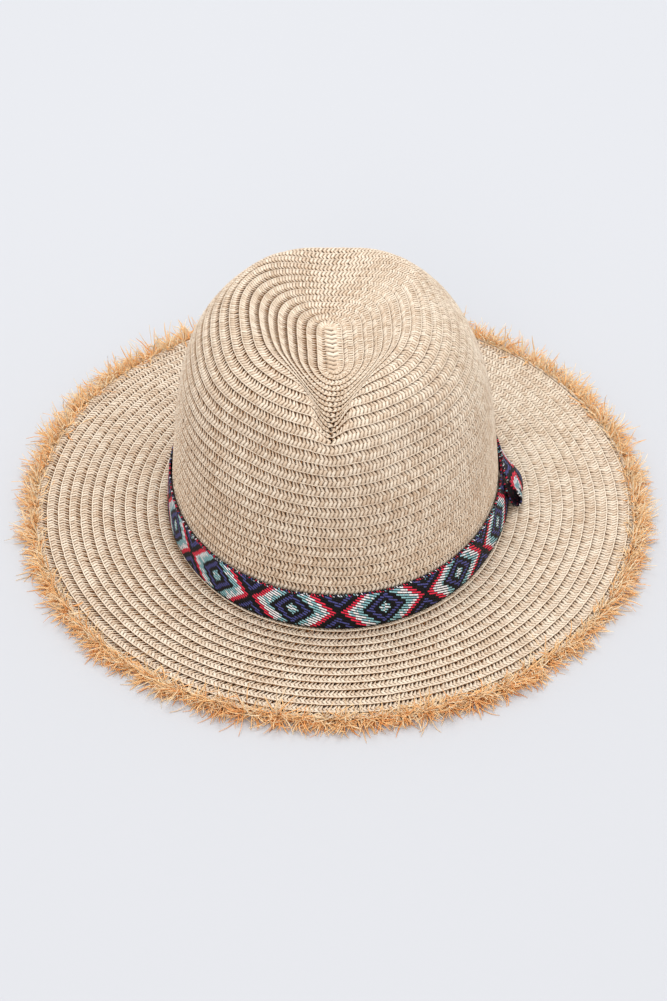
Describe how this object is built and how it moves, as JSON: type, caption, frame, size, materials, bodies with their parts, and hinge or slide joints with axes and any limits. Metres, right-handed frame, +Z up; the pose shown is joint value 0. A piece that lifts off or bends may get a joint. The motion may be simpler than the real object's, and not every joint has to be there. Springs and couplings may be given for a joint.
{
  "type": "straw hat",
  "caption": "Wide-brimmed sewn straw hat with a teardrop dent in its crown, a diamond-patterned ribbon band with a folded end, and a raffia fringe round the brim.",
  "frame": {"origin": "on the surface that the hat rests on, under the middle of the brim", "axes": "+Z up, the front of the hat faces -Y, +X to the wearer's left"},
  "size_m": [0.3362, 0.3682, 0.1171],
  "materials": {
    "straw": "matte twisted paper straw braid",
    "ribbon": "woven ribbon with diamonds in navy, red, white and teal",
    "raffia": "frayed raffia"
  },
  "bodies": {
    "root": {"crown": "straw", "brim": "straw", "band": "ribbon", "band_fold": "ribbon", "fringe": "raffia"}
  },
  "joints": []
}
